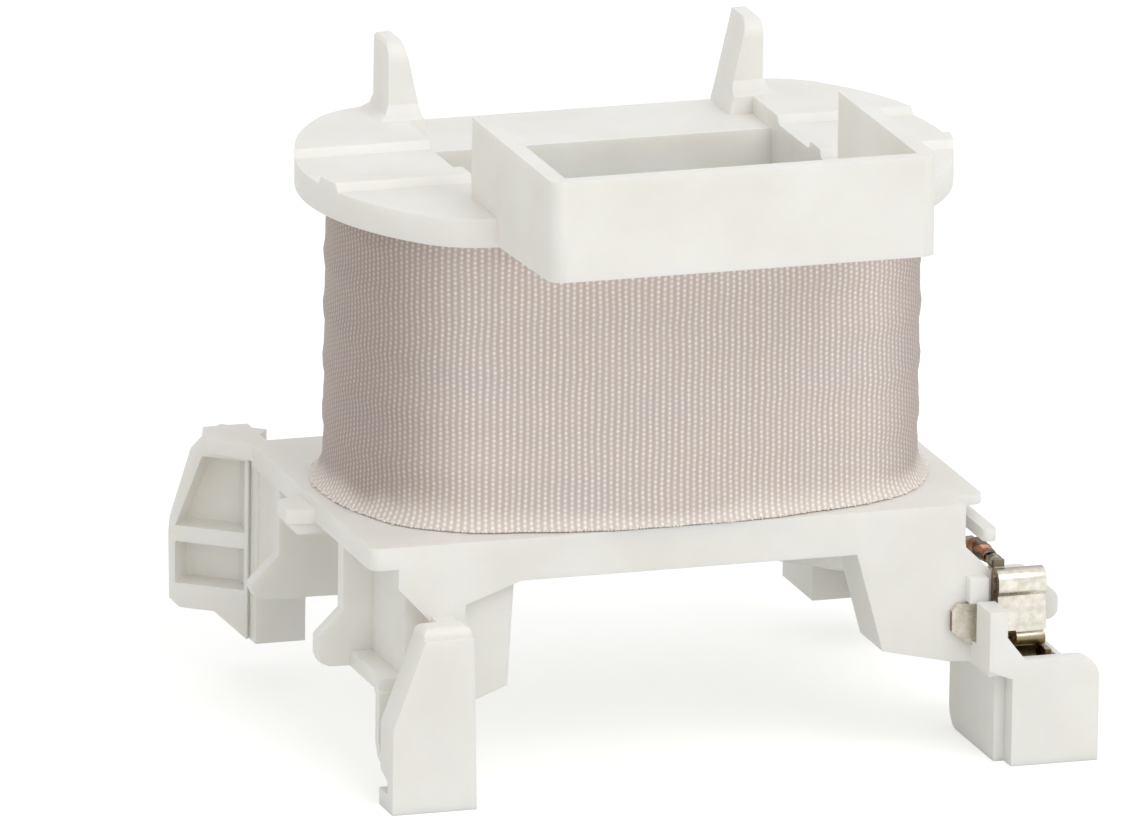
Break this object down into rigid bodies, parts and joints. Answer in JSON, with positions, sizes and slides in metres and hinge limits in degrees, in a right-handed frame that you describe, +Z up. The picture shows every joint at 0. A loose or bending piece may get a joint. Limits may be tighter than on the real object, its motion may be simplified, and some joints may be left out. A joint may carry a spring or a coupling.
{
  "type": "contactor coil",
  "caption": "Coil for a small contactor: winding under woven tape on a white nylon bobbin with a label frame, prongs, snap leg and spring terminals",
  "frame": {"origin": "centre of the core passage at the top face of the lower flange", "axes": "+X along the flange's long side towards the terminals, -Y towards the label frame, +Z up along the core passage"},
  "size_m": [0.0542, 0.0455, 0.0449],
  "materials": {
    "white_nylon": "moulded, fine matt",
    "enamelled_wire": "copper wire under clear enamel",
    "woven_tape": "plain weave, impregnated",
    "tinned_sheet": "tinned copper sheet, drawn",
    "copper_wire": "bare copper",
    "solder": "dull tin solder"
  },
  "bodies": {
    "root": {"bobbin": "white_nylon", "winding": "enamelled_wire", "cloth_tape": "woven_tape", "terminal_front": "tinned_sheet", "terminal_rear": "tinned_sheet", "lead_front": "copper_wire", "lead_rear": "copper_wire", "solder_front": "solder", "solder_rear": "solder"}
  },
  "joints": []
}
